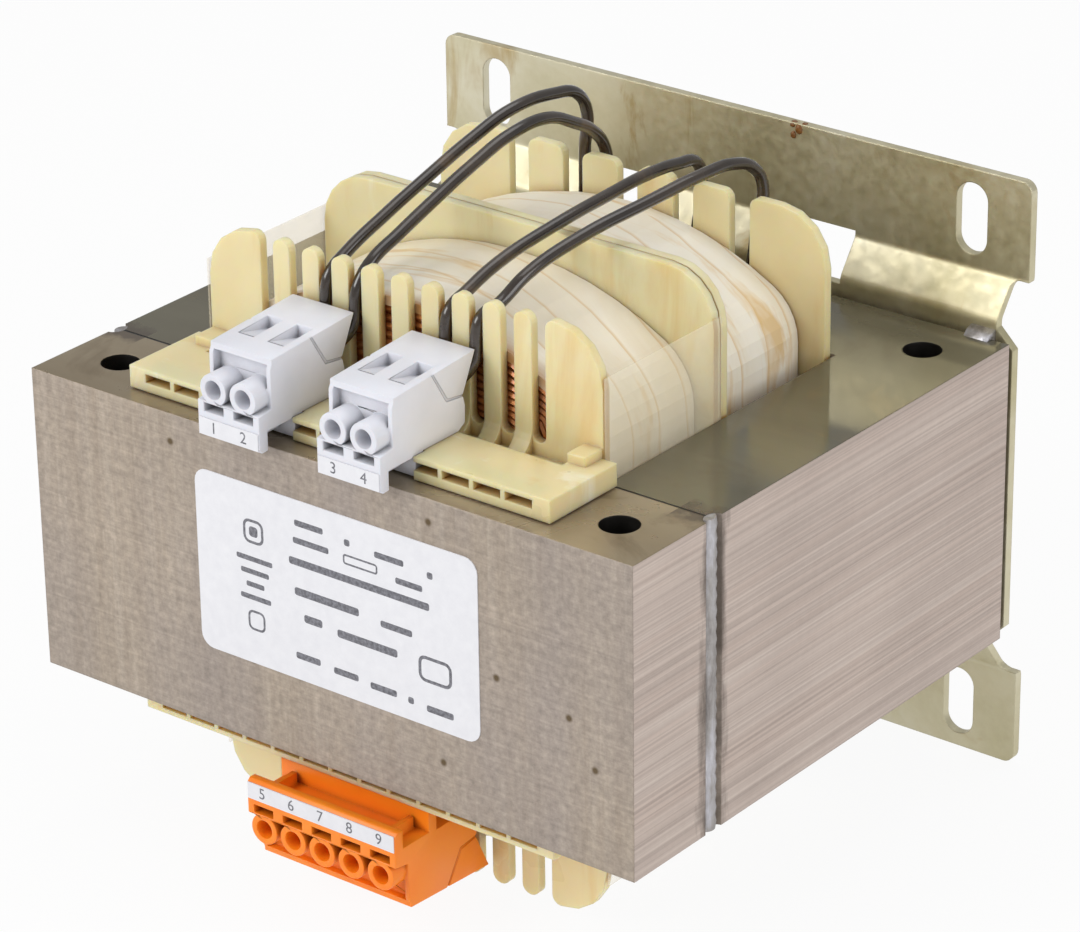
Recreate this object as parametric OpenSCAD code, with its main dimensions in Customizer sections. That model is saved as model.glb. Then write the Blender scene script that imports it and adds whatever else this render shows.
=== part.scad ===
// Laminated isolating transformer with a fixing bracket and screwless terminals.
// Frame: X along the yokes, Y from the terminals back to the bracket, Z up the stack.
// Origin: centre of the core's four holes, on the lower face of the stack.

/* [Core] */
// Width of the core along X
core_w = 150; // [145:0.5:165]
// Depth of the core along Y
core_d = 125; // [122:0.5:140]
// Height of the lamination stack
stack_h = 66; // [60:0.5:80]
// Width of the middle leg
leg_w = 50; // [46:0.5:52]
// Depth of the yokes and width of the outer legs
yoke_w = 25; // [23:0.5:26]
// Diameter of the four core holes
hole_d = 8; // [6:0.1:10]
// Distance of a core hole's centre from the two faces beside it
hole_inset = 12.5; // [10:0.1:14]
// Gap left between the I sheets and the E sheets
joint_gap = 0.1; // [0.05:0.05:0.3]

/* [Seam welds] */
// Radius of the groove along the joint on each side
groove_r = 2.6; // [2.2:0.1:3.2]
// Distance of the groove's axis outside the core's side
groove_out = 0.6; // [0.4:0.1:1]
// Radius of the bead in the groove
bead_r = 2; // [1.8:0.05:2.1]
// Length of one ripple of the bead
ripple = 3; // [2.5:0.5:6]
// Depth of the ripples
ripple_depth = 0.2; // [0.1:0.05:0.4]

/* [Bracket] */
// Thickness of the bracket's sheet
sheet_t = 2; // [1.5:0.1:2.5]
// How far the bracket stands out past the core on each side
bracket_over = 0; // [-2:0.1:3]
// Height of each fixing flange
fixing_h = 21.3; // [19:0.1:24]
// Step from the back plate to the fixing flanges
step_d = 5.4; // [4:0.1:7]
// Height taken by the sloping part of the step
step_h = 7.5; // [6:0.1:9]
// Height of the straight neck past the stack
neck_h = 3.5; // [3:0.1:6]
// Depth of the cuts beside the necks
neck_cut = 4; // [2:0.1:5]
// Distance of the neck's chamfers from the stack's faces
neck_set = 2; // [1:0.1:6]
// Inside radius of the bends
bend_r = 2; // [1:0.1:3]
// Gap between the core and the back plate
plate_gap = 1.3; // [0.8:0.1:2]
// Corner radius of the fixing flanges
ear_r = 2.5; // [1:0.1:5]
// Width of a fixing slot
slot_w = 7.4; // [5:0.1:8.5]
// Length of a fixing slot from end to end
slot_len = 15.4; // [13:0.1:17]
// Distance of the slots' centres from the bracket's ends
slot_inset = 14; // [12:0.1:20]
// Width of the openings punched in the steps
punch_w = 14.4; // [10:0.1:14.8]
// Height of those openings past the step's bends
punch_over = 1.2; // [0.5:0.1:2]
// Distance of those openings' centres from the middle
punch_x = 25.6; // [20:0.1:40]
// Leg of the weld beads that hold the bracket
tack_r = 1.8; // [1.4:0.1:2.4]
// Length of those beads
tack_len = 6; // [4:0.5:10]

/* [Bobbins] */
// Clearance between the bobbin flanges and the core's outer legs
flange_clear = 1; // [0.6:0.1:2]
// Reach of the bobbin flanges past the stack
flange_reach = 30; // [28:0.5:33]
// Thickness of the bobbin flanges
flange_t = 2; // [1.6:0.1:2.2]
// Corner radius of the finger tips
tip_r = 2; // [1:0.1:2]
// Wall of the tube round the leg
tube_wall = 1.8; // [1.4:0.1:2]
// Clearance between a moulding and the core
core_clear = 0.3; // [0.2:0.05:0.35]
// Gap between the two bobbins
bobbin_gap = 0.4; // [0.2:0.1:0.6]
// Pitch of the front fingers and of the terminals
pitch = 7.5; // [7.2:0.1:7.6]
// Width of a slot between the front fingers
front_slot_w = 3.3; // [3.2:0.1:3.4]
// Number of front fingers
front_fingers = 9; // [9:2:9]
// Pitch of the rear fingers
rear_pitch = 14; // [13.6:0.1:14.4]
// Width of a slot between the rear fingers
rear_slot_w = 5; // [4.6:0.1:6]
// Number of rear fingers
rear_fingers = 4; // [4:2:4]
// Distance of the slots' closed ends past the stack
slot_floor = 4; // [3.6:0.1:5]

/* [Terminal ledges] */
// How far a ledge reaches over each outer leg
ledge_lap = 2.4; // [0.4:0.1:5]
// Distance of a ledge's outer face from the stack
ledge_h = 5; // [4.8:0.1:5.5]
// Distance of a ledge's front from the core's front
ledge_front = 4.5; // [3.5:0.1:5]
// Distance of a ledge's back from the core's front
ledge_back = 18.3; // [17.8:0.1:18.6]
// Thickness of the plate that joins a ledge to its flange
floor_t = 1; // [0.8:0.1:1.2]
// Depth of the pockets in a ledge
pocket_d = 4.8; // [3:0.1:6]
// Height of the rim between the pockets and the core
rim_t = 1.9; // [0.8:0.1:2.4]
// Thickness of the skin over the pockets and of the walls between them
pocket_wall = 1; // [0.8:0.1:1.4]
// Radius of the sweep from a finger to the joining plate
foot_r = 5.4; // [4:0.1:5.6]
// Width of the webs at a ledge's ends
web_w = 4.4; // [3:0.1:6]
// Rise of those webs over the ledge
web_rise = 1.9; // [1:0.1:4]

/* [Windings] */
// Clearance between a winding and the core's outer legs
wound_gap = 5.5; // [4.5:0.1:7]
// Reach of a winding past the stack
wound_reach = 24; // [22:0.2:24.4]
// Radius of the crown of a winding
crown_r = 75; // [70:1:85]
// Radius of the shoulders of a winding
shoulder_r = 14; // [12:0.5:16]
// Thickness of the tape over the copper
tape_t = 2; // [1.6:0.1:3]
// Clearance between a winding and its bobbin
wound_clear = 0.2; // [0.1:0.05:0.3]
// Width of each tape step at the rear end
step_w = 2; // [1:0.1:3]
// Height of each tape step at the rear end
tape_step = 0.6; // [0.3:0.1:0.6]
// Thickness of the side films
film_t = 0.4; // [0.2:0.1:0.5]
// Reach of the side films past the stack
film_reach = 21.3; // [15:0.1:28]
// Depth of the side films along Y
film_d = 36.5; // [30:0.5:40]

/* [Terminal blocks] */
// Centre of the left block
left_x = -18.1; // [-20:0.1:-17]
// Centre of the right block
right_x = 11.9; // [10:0.1:14]
// Centre of the lower block
lower_x = 1.6; // [-2:0.1:3]
// Number of terminals on each upper block
upper_poles = 2; // [2:1:2]
// Number of terminals on the lower block
lower_poles = 5; // [5:1:5]
// Wall outside the last terminal
end_wall = 0.3; // [0.1:0.05:0.6]
// Stand-off of the lower block from its ledge
lower_drop = 5.4; // [4.8:0.1:6]
// Diameter of a wire entry
entry_d = 3.9; // [3:0.1:4.2]
// Outer diameter of the collar round an entry
collar_d = 6.6; // [6:0.1:7]
// Width of a top pocket and of the contact space under it
cage_w = 4; // [3.6:0.1:4.4]
// Width of a release slot
release_w = 4.9; // [3.6:0.1:5]
// Height of a release slot
release_h = 1.8; // [1:0.1:1.9]
// Depth of a top pocket at its back
pocket_fall = 3.4; // [2:0.1:3.8]
// Thickness of a contact's sheet
contact_t = 0.5; // [0.3:0.05:0.7]
// Clearance round what is seated in a block
fit = 0.1; // [0.05:0.05:0.2]

/* [Leads] */
// Diameter of the sleeved upper leads
lead_d = 2.6; // [2:0.1:2.6]
// Diameter of the lower leads
lower_lead_d = 2; // [1.5:0.1:2.4]

/* [Labels] */
// Width of the rating label
label_w = 70.6; // [60:0.2:90]
// Height of the rating label
label_h = 39; // [30:0.5:50]
// Distance of the rating label's centre from the middle of the core
label_x = 3.3; // [-10:0.1:10]
// Height of the rating label's centre
label_z = 37; // [26:0.5:40]
// Corner radius of the rating label
label_r = 3; // [1:0.5:5]
// Thickness of the labels
label_t = 0.2; // [0.1:0.05:0.3]
// Height of a marker strip
strip_h = 3.6; // [3:0.1:4]

/* [Hidden] */
$fn = 48;
over = 1;
mid_z = stack_h / 2;
win_x = leg_w / 2;
win_w = core_w / 2 - leg_w / 2 - yoke_w;
win_d = core_d - 2 * yoke_w;
inner_w = core_w - 2 * yoke_w;
flange_w = inner_w - 2 * flange_clear;
ledge_w = inner_w + 2 * ledge_lap;
wound_w = inner_w - 2 * wound_gap;
bracket_w = core_w + 2 * bracket_over;
neck_w = bracket_w - 2 * neck_cut;
slot_x = bracket_w / 2 - slot_inset;
hole_xs = core_w / 2 - hole_inset;
// Bobbins along Y, from the front flange's face to the rear flange's face
bobbin_y0 = yoke_w + core_clear;
bobbin_y3 = core_d - yoke_w - core_clear;
bobbin_len = (bobbin_y3 - bobbin_y0 - bobbin_gap) / 2;
rear_y0 = bobbin_y3 - bobbin_len;
tube_x = win_x + core_clear + tube_wall;
tube_z = mid_z + core_clear + tube_wall;
flange_z = mid_z + flange_reach;
// The flanges' corners are as round as the outermost front finger allows
end_finger = (flange_w - front_fingers * pitch - front_slot_w) / 2;
flange_r = end_finger - tip_r - 0.2;
ledge_z = stack_h + ledge_h;
wound_len = bobbin_len - 2 * flange_t - 2 * wound_clear;
// Bracket in its own profile, heights measured from the middle of the stack
plate_y = core_d + plate_gap;
fixing_y = plate_y + step_d;
bend_z = mid_z + neck_h;
step_z = bend_z + step_h;
bracket_z = step_z + fixing_h;
slot_z = step_z + fixing_h / 2;
// Terminal block, from the ledge's outer face, in Y and height
seat_y = ledge_front + 3.5;
face_y = -4.9;
entry_z = 5.9;
release_z = 1.9;
lip_z = -4.5;
cage_y0 = 5.6;
cage_y1 = 14;
cage_z = 2.6;
claw_t = 1.7;
cage_h = 6.6;
brow_z = 12.8;
top_z = 15.3;
back_y = 23.8;
end_t = 1.1;
rib_t = 1.2;
claw_z = -3.1;
lead_bore = lead_d + 0.3;

steel = [0.42, 0.41, 0.4];
zinc = [0.6, 0.6, 0.52];
cream = [0.9, 0.87, 0.7];
tape = [0.95, 0.93, 0.88];

// The points of a polygon with each corner rounded to its own radius
function unit(v) = v / norm(v);
function corner(a, b, c, r, n) =
    r == 0 ? [b] :
    let (u = unit(a - b), v = unit(c - b), h = acos(u * v) / 2, m = b + unit(u + v) * r / sin(h),
         s = b + u * r / tan(h) - m, e = b + v * r / tan(h) - m,
         a0 = atan2(s[1], s[0]), d0 = atan2(e[1], e[0]) - a0,
         d = d0 > 180 ? d0 - 360 : d0 < -180 ? d0 + 360 : d0)
    [for (i = [0 : n]) m + r * [cos(a0 + d * i / n), sin(a0 + d * i / n)]];
function rounded(p, r, n = 5) =
    [for (i = [0 : len(p) - 1])
        each corner(p[(i + len(p) - 1) % len(p)], p[i], p[(i + 1) % len(p)], r[i], n)];

// Modules work from the core's front face; this puts them in the part's frame
module in_frame() translate([0, -core_d / 2, 0]) children();
module mirrored_x() { children(); mirror([1, 0, 0]) children(); }
module mirrored_z() { children(); translate([0, 0, stack_h]) mirror([0, 0, 1]) children(); }
// Slab of an outline in X and Z, from y back by t
module slab(y, t, p) translate([0, y + t, 0]) rotate([90, 0, 0]) linear_extrude(t) polygon(p);
// Bar of a profile in Y and Z, along X
module bar(x, w, p) translate([x, 0, 0]) rotate([90, 0, 90]) linear_extrude(w) polygon(p);
module rod_y(x, y, z, d, l) translate([x, y, z]) rotate([-90, 0, 0]) cylinder(d = d, h = l);

// Core
module core_holes()
    mirrored_x() for (y = [hole_inset, core_d - hole_inset])
        translate([hole_xs, y, -over]) cylinder(d = hole_d, h = stack_h + 2 * over);
module grooves()
    mirrored_x() translate([core_w / 2 + groove_out, yoke_w, -over])
        cylinder(r = groove_r, h = stack_h + 2 * over);
module core_yoke()
    color(steel) in_frame() difference() {
        translate([-core_w / 2, 0, 0]) cube([core_w, yoke_w - joint_gap / 2, stack_h]);
        core_holes();
        grooves();
    }
module core_e_stack()
    color(steel) in_frame() difference() {
        translate([-core_w / 2, yoke_w + joint_gap / 2, 0])
            cube([core_w, core_d - yoke_w - joint_gap / 2, stack_h]);
        mirrored_x() translate([win_x, yoke_w - over, -over])
            cube([win_w, win_d + over, stack_h + 2 * over]);
        core_holes();
        grooves();
    }
// A rippled bead that fills the bottom of the groove
module seam_weld()
    in_frame() intersection() {
        translate([core_w / 2 + groove_out, yoke_w, 0]) cylinder(r = groove_r, h = stack_h);
        translate([core_w / 2 - bead_r, yoke_w, 0]) rotate_extrude()
            polygon(concat([[0, 0]], [for (i = [0 : 2 * stack_h / ripple])
                [bead_r + (i % 2 == 0 ? 0 : ripple_depth), i * ripple / 2]], [[0, stack_h]]));
    }
module seam_weld_left() color(steel) mirror([1, 0, 0]) seam_weld();
module seam_weld_right() color(steel) seam_weld();

// Bracket: one sheet, stepped back above and below the core
module sheet() {
    edge = [fixing_y, fixing_y + sheet_t];
    plate = [plate_y, plate_y + sheet_t];
    r0 = bend_r;
    r1 = bend_r + sheet_t;
    top = [[plate[0], bend_z], [edge[0], step_z], [edge[0], bracket_z],
           [edge[1], bracket_z], [edge[1], step_z], [plate[1], bend_z]];
    low = [for (i = [5 : -1 : 0]) [top[i][0], -top[i][1]]];
    side = rounded(concat(top, low), [r1, r0, 0, 0, r1, r0, r0, r1, 0, 0, r0, r1]);
    chamfer = (bracket_w - neck_w) / 2;
    full_z = mid_z - neck_set;
    right = [[bracket_w / 2, full_z], [neck_w / 2, full_z + chamfer], [neck_w / 2, step_z],
             [bracket_w / 2, step_z], [bracket_w / 2, bracket_z]];
    left = [for (i = [4 : -1 : 0]) [-right[i][0], right[i][1]]];
    half = concat(right, left);
    radii = [0, 0, bend_r, 0, ear_r, ear_r, 0, bend_r, 0, 0];
    blank = rounded(concat(half, [for (q = half) -q]), concat(radii, radii));
    translate([0, 0, mid_z]) intersection() {
        bar(-bracket_w / 2, bracket_w, side);
        slab(core_d, step_d + 3 * sheet_t + plate_gap, blank);
    }
}
module mounting_bracket()
    color(zinc) in_frame() difference() {
        sheet();
        mirrored_z() mirrored_x() {
            for (s = [-1, 1]) rod_y(slot_x, core_d, mid_z + slot_z + s * (slot_len - slot_w) / 2,
                slot_w, step_d + 4 * sheet_t);
            translate([slot_x - slot_w / 2, core_d, mid_z + slot_z - (slot_len - slot_w) / 2])
                cube([slot_w, step_d + 4 * sheet_t, slot_len - slot_w]);
            translate([punch_x - punch_w / 2, core_d, mid_z + bend_z - punch_over])
                cube([punch_w, step_d + 4 * sheet_t, step_h + 2 * punch_over]);
        }
    }
// Four beads between the core's back edges and the ends of the necks
module bracket_welds() {
    foot = core_d - tack_r;
    crest = stack_h + tack_r;
    color(steel) in_frame() mirrored_z() mirrored_x() bar(neck_w / 2 - tack_len, tack_len, rounded(
        [[core_d, stack_h - 1], [plate_y, stack_h - 1], [plate_y, crest],
         [core_d - tack_r / 3, crest - tack_r / 3], [foot, stack_h], [core_d, stack_h]],
        [0, 0, 0, tack_r / 3, 0, 0]));
}

// Bobbins
function comb_top(n, p, gap) = concat(
    [[-flange_w / 2, flange_z]],
    [for (i = [0 : n]) let (x = (i - n / 2) * p)
        each [[x - gap / 2, flange_z], [x - gap / 2, mid_z + slot_floor],
              [x + gap / 2, mid_z + slot_floor], [x + gap / 2, flange_z]]],
    [[flange_w / 2, flange_z]]);
function comb_radii(n, gap) = concat(
    [flange_r], [for (i = [0 : n]) each [tip_r, 0.48 * gap, 0.48 * gap, tip_r]], [flange_r]);
function comb(n, p, gap) = let (t = comb_top(n, p, gap), r = comb_radii(n, gap))
    rounded(concat(t, [for (q = t) -q]), concat(r, r), 4);
function plain() = rounded([[-flange_w / 2, flange_z], [flange_w / 2, flange_z],
    [flange_w / 2, -flange_z], [-flange_w / 2, -flange_z]], [for (i = [0 : 3]) flange_r]);
module centred(y, t, p) translate([0, 0, mid_z]) slab(y, t, p);
module tube_space(y, l)
    translate([-win_x - core_clear, y, -core_clear])
        cube([leg_w + 2 * core_clear, l, stack_h + 2 * core_clear]);
module tube(y, l)
    translate([-tube_x, y, mid_z - tube_z]) cube([2 * tube_x, l, 2 * tube_z]);
module bobbin_rear()
    color(cream) in_frame() difference() {
        union() {
            centred(rear_y0, flange_t, plain());
            tube(rear_y0 + flange_t / 2, bobbin_len - flange_t);
            centred(bobbin_y3 - flange_t, flange_t, comb(rear_fingers, rear_pitch, rear_slot_w));
        }
        tube_space(rear_y0 - over, bobbin_len + 2 * over);
    }
module block_notches()
    for (x = [left_x, right_x]) {
        w = upper_poles * pitch + 2 * end_wall + 4 * fit;
        translate([x - w / 2, 0, 0]) cube([w, seat_y + fit, stack_h + flange_reach]);
    }
// Half of the front bobbin's front end: joining plate, ledge, webs and finger feet
module ledge(notched) {
    floor_z = stack_h + core_clear;
    ledge_t = ledge_h - core_clear;
    foot_y = bobbin_y0 + flange_t / 2;
    pockets = floor((ledge_w / 2 - pocket_wall) / pitch - 0.5);
    difference() {
        translate([-ledge_w / 2, ledge_front, floor_z]) cube([ledge_w, ledge_back - ledge_front, ledge_t]);
        for (i = [-pockets : pockets])
            translate([(i - 0.5) * pitch + pocket_wall / 2, ledge_front - over, floor_z + rim_t])
                cube([pitch - pocket_wall, pocket_d + over, ledge_t - rim_t - pocket_wall]);
        if (notched) block_notches();
    }
    translate([-flange_w / 2, ledge_back - over, floor_z])
        cube([flange_w, foot_y - ledge_back + over, floor_t]);
    mirrored_x() {
        translate([flange_w / 2 - web_w, ledge_back - over, floor_z])
            cube([(ledge_w - flange_w) / 2 + web_w, bobbin_y0 - 0.3 - ledge_back + over, ledge_t]);
        translate([flange_w / 2 - web_w, bobbin_y0 - foot_r, floor_z])
            cube([web_w - 0.2, foot_r + flange_t / 2, ledge_t + web_rise]);
    }
    curve_y = bobbin_y0 - foot_r;
    curve_z = floor_z + floor_t + foot_r;
    foot = concat([[foot_y, curve_z], [foot_y, floor_z], [curve_y, floor_z]],
        [for (i = [0 : 6]) [curve_y + foot_r * sin(15 * i), curve_z - foot_r * cos(15 * i)]]);
    for (i = [0 : front_fingers - 1]) bar((i - front_fingers / 2) * pitch + front_slot_w / 2 + 0.1,
        pitch - front_slot_w - 0.2, foot);
}
module bobbin_front()
    color(cream) in_frame() difference() {
        union() {
            centred(bobbin_y0, flange_t, comb(front_fingers, pitch, front_slot_w));
            tube(bobbin_y0 + flange_t / 2, bobbin_len - flange_t);
            centred(bobbin_y0 + bobbin_len - flange_t, flange_t, plain());
            ledge(true);
            translate([0, 0, stack_h]) mirror([0, 0, 1]) ledge(false);
        }
        tube_space(bobbin_y0 - over, bobbin_len + 2 * over);
    }

// Windings: arched outline, drawn in by i on every side
function arch(i) =
    let (r = shoulder_r - i, x = wound_w / 2 - shoulder_r, k = crown_r - shoulder_r,
         a = acos(x / k), c = mid_z + wound_reach - crown_r, z = c + k * sin(a),
         half = concat([for (j = [0 : 5]) [x + r * cos(a * j / 5), z + r * sin(a * j / 5)]],
             [for (j = [1 : 11]) let (b = a + (180 - 2 * a) * j / 12)
                 [(crown_r - i) * cos(b), c + (crown_r - i) * sin(b)]],
             [for (j = [5 : -1 : 0]) [-x - r * cos(a * j / 5), z + r * sin(a * j / 5)]]))
    concat(half, [for (q = half) -q]);
module copper(y)
    difference() {
        centred(y, wound_len, arch(tape_t));
        translate([-tube_x - wound_clear, y - over, mid_z - tube_z - wound_clear])
            cube([2 * (tube_x + wound_clear), wound_len + 2 * over, 2 * (tube_z + wound_clear)]);
    }
front_wound_y = bobbin_y0 + flange_t + wound_clear;
rear_wound_y = rear_y0 + flange_t + wound_clear;
copper_c = [0.72, 0.42, 0.24];
module copper_front() color(copper_c) in_frame() copper(front_wound_y);
module copper_rear() color(copper_c) in_frame() copper(rear_wound_y);
module wrap_front()
    color(tape) in_frame() difference() {
        centred(front_wound_y, wound_len, arch(0));
        centred(front_wound_y - over, wound_len + 2 * over, arch(tape_t));
    }
// The rear tape ends in three steps
module wrap_rear()
    color(tape) in_frame() difference() {
        for (i = [0 : 3]) centred(rear_wound_y, wound_len - i * step_w, arch(tape_step * (3 - i)));
        centred(rear_wound_y - over, wound_len + 2 * over, arch(tape_t));
    }
module side_film()
    in_frame() translate([(flange_w / 2 + win_x + win_w - film_t) / 2, bobbin_y0, -film_reach])
        cube([film_t, film_d, stack_h + 2 * film_reach]);
module side_film_left() color([0.85, 0.87, 0.8, 0.4]) mirror([1, 0, 0]) side_film();
module side_film_right() color([0.85, 0.87, 0.8, 0.4]) side_film();

// Terminal block on a ledge: Y from the core's front, height from the ledge's outer face
function pole_x(n, i) = (i - (n - 1) / 2) * pitch;
module block(n, drop) {
    w = n * pitch + 2 * end_wall;
    hook_z = claw_z - drop;
    foot_z = drop > 0 ? -drop : core_clear + fit - ledge_h;
    back = [[18.2, 0], [20.4, 1.2], [20.5, 4.8], [19.9, 7.2], [back_y, top_z]];
    front = [[-0.6, brow_z + 1], [-0.6, brow_z], [-1.1, brow_z - 1], [-1.1, 3.8], [face_y, 3.2],
        [face_y, lip_z + 0.8], [face_y + 0.7, lip_z]];
    foot = [[-2.4, lip_z + 0.1], [-2.4, -0.4], [seat_y - 2.6, -0.4], [seat_y - 2.6, foot_z],
        [seat_y - 0.2, foot_z], [seat_y - 0.2, 0]];
    crease = [[10.4, top_z - 0.4], [10.9, top_z - 0.4], [15.3, 7.9], [19.9, 7.2], [20, 6.8], [15, 7.4]];
    pocket = [[4.6, top_z + 1], [5.2, brow_z + 1.2], [cage_y1, top_z - pocket_fall], [cage_y1, top_z + 1]];
    difference() {
        union() {
            bar(-w / 2, w, concat(front, foot, back));
            for (i = [0 : n - 1]) translate([pole_x(n, i), 0, 0]) {
                rod_y(0, face_y, entry_z, collar_d, -face_y);
                translate([-1.6, ledge_back, hook_z]) cube([3.2, claw_t, 3 - hook_z]);
            }
            for (i = [0, n - 1]) translate([pole_x(n, i) - rib_t / 2, -3, -3]) cube([rib_t, seat_y, 4]);
        }
        translate([end_t - w / 2, -2, entry_z + 1]) cube([w - 2 * end_t, 2.8, brow_z - entry_z - 1.4]);
        for (i = [0 : n - 1]) translate([pole_x(n, i), 0, 0]) {
            rod_y(0, face_y - over, entry_z, entry_d, cage_y0 - face_y + 2 * over);
            rod_y(0, cage_y1 - over, entry_z, lead_bore, 12);
            translate([-release_w / 2, face_y - over, release_z - release_h / 2])
                cube([release_w, 3 + over, release_h]);
            translate([-cage_w / 2, cage_y0, cage_z]) cube([cage_w, cage_y1 - cage_y0, cage_h + fit]);
            bar(-cage_w / 2, cage_w, pocket);
        }
        for (x = [-w / 2 - over, w / 2 - 0.3]) bar(x, over + 0.3, crease);
    }
    for (i = [0 : n - 1]) translate([pole_x(n, i), 0, 0]) difference() {
        rod_y(0, face_y, entry_z, collar_d, 6);
        rod_y(0, face_y - over, entry_z, entry_d, 8);
        translate([-release_w / 2, face_y - over, release_z - release_h / 2])
            cube([release_w, 3 + over, release_h]);
    }
}
// Sheet-metal clamp cages, one in each pocket, with a hole for wire and lead
module contacts(n)
    for (i = [0 : n - 1]) translate([pole_x(n, i) - cage_w / 2 + fit, cage_y0 + fit, cage_z]) {
        w = cage_w - 2 * fit;
        l = cage_y1 - cage_y0 - 2 * fit;
        h = cage_h;
        difference() {
            cube([w, l, h]);
            translate([contact_t, contact_t, contact_t]) cube([w - 2 * contact_t, l - 2 * contact_t, h]);
            rod_y(w / 2, -over, entry_z - cage_z, lead_d - 0.4, l + 2 * over);
        }
        translate([contact_t, l / 2, contact_t]) rotate([-40, 0, 0])
            cube([w - 2 * contact_t, contact_t, h - 2]);
    }
module on_top(x) in_frame() translate([x, 0, ledge_z]) children();
module below(x) in_frame() translate([x, 0, -ledge_h - lower_drop]) mirror([0, 0, 1]) children();
white = [0.92, 0.92, 0.95];
orange = [1, 0.45, 0.05];
brass = [0.8, 0.68, 0.4];
module block_left() color(white) on_top(left_x) block(upper_poles, 0);
module block_right() color(white) on_top(right_x) block(upper_poles, 0);
module block_lower() color(orange) below(lower_x) block(lower_poles, lower_drop);
module contacts_left() color(brass) on_top(left_x) contacts(upper_poles);
module contacts_right() color(brass) on_top(right_x) contacts(upper_poles);
module contacts_lower() color(brass) below(lower_x) contacts(lower_poles);
module marker(n)
    translate([-n * pitch / 2, face_y - label_t, lip_z + 0.6]) cube([n * pitch, label_t, strip_h]);
module marker_left() color("white") on_top(left_x) marker(upper_poles);
module marker_right() color("white") on_top(right_x) marker(upper_poles);
module marker_lower() color("white") below(lower_x) marker(lower_poles);

// Leads: an eight-sided sweep along chosen points, each [x, y, z] from the core's front face
function ring(p, t, d) =
    let (a = unit([1, 0, 0] - t[0] * t), b = cross(t, a))
    [for (k = [0 : 7]) p + d / 2 * (a * cos(45 * k) + b * sin(45 * k))];
module sweep(p, d) {
    n = len(p);
    rings = [for (i = [0 : n - 1]) ring(p[i], unit(p[min(i + 1, n - 1)] - p[max(i - 1, 0)]), d)];
    polyhedron(
        points = [for (r = rings) each r],
        faces = concat([[for (k = [0 : 7]) k]],
            [for (i = [0 : n - 2]) for (k = [0 : 7])
                [i * 8 + k, i * 8 + 8 + k, i * 8 + 8 + (k + 1) % 8, i * 8 + (k + 1) % 8]],
            [[for (k = [7 : -1 : 0]) (n - 1) * 8 + k]]));
}
// From a block's rear entry up into its slot in the front comb
function rise(x, s) = [[x, 15, ledge_z + entry_z], [x, 20.4, ledge_z + entry_z + 0.2],
    [x + 0.2 * (s - x), 22.5, 79], [s - 0.2, 24.4, 82.8], [s - 0.2, 25.4, 86], [s - 0.2, 25.8, 88.8],
    [s, 26.8, 91.4]];
black = [0.16, 0.11, 0.09];
slot_in = 1.5 * pitch;
slot_out = 2.5 * pitch;
path_a = concat(rise(left_x - pitch / 2, -slot_out), [
    [-18.4, 31, 94.1], [-17.6, 43, 98.9], [-16.8, 55.5, 103.2], [-16, 67.6, 107.1], [-15.3, 79.7, 109.9],
    [-14.5, 92.1, 109.6], [-14, 99.6, 107.4], [-13.8, 102.4, 102.5], [-13.8, 101.6, 95.8],
    [-13.9, 101.5, 85], [-14, 100.6, 77.5], [-14, 98.9, 74.6], [-14, 97.8, 74.4]]);
path_b = concat(rise(left_x + pitch / 2, -slot_in), [
    [-11.1, 29.9, 94.3], [-10.9, 38.8, 97.7], [-10.6, 47.8, 100.9], [-10.2, 60.3, 105], [-9.8, 72.9, 108.1],
    [-9.5, 84, 108], [-9.3, 91.9, 104.7], [-9.1, 98.4, 100.8], [-9, 101.9, 96.5],
    [-8, 102.2, 89], [-5, 102, 81], [-1.3, 101.5, 76.6], [-0.3, 99.4, 74.8], [-0.2, 97.8, 74.6]]);
path_c = concat(rise(right_x - pitch / 2, slot_in), [
    [11.4, 31.4, 93.3], [11.8, 40.9, 96.3], [12.4, 57.3, 98.6], [13.1, 74.2, 99.9], [13.5, 87, 100.4],
    [13.9, 95.8, 99.8], [14.1, 102.4, 98], [14.2, 103.9, 92.6], [14.1, 102.4, 84],
    [14, 101, 77.5], [14, 99, 74.6], [14, 97.8, 74.4]]);
path_d = concat(rise(right_x + pitch / 2, slot_out), [
    [19.3, 32, 92.9], [20.4, 38.7, 96.6], [22.2, 53.5, 100], [24.6, 72.2, 101.9], [26.6, 87.7, 103.2],
    [27.6, 95.6, 103], [28.4, 102, 100.3], [28.8, 104.6, 95.6], [28.5, 103, 88],
    [28.3, 101.9, 80.5], [28, 100.4, 76], [28, 98.9, 74.6], [28, 97.8, 74.4]]);
module lead_1() color(black) in_frame() sweep(path_a, lead_d);
module lead_2() color(black) in_frame() sweep(path_b, lead_d);
module lead_3() color(black) in_frame() sweep(path_c, lead_d);
module lead_4() color(black) in_frame() sweep(path_d, lead_d);
// Lower leads, from the front winding through the lower slots into the lower block
module lower_leads()
    color(black) in_frame() for (i = [0 : lower_poles - 1]) {
        x = lower_x + pole_x(lower_poles, i);
        s = (i - 1.5) * pitch;
        z = -ledge_h - lower_drop - entry_z;
        sweep([[x, 15, z], [x, 20.8, z], [(x + s) / 2, 23.4, z - 1], [s, 25.2, z - 2.2], [s, 27.4, z - 2.4]],
            lower_lead_d);
    }

// Blank rating label on the front yoke
module rating_label()
    color("white") in_frame() translate([label_x, -label_t, label_z]) slab(0, label_t, rounded(
        [[-label_w / 2, label_h / 2], [label_w / 2, label_h / 2], [label_w / 2, -label_h / 2],
         [-label_w / 2, -label_h / 2]], [for (i = [0 : 3]) label_r]));

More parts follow.
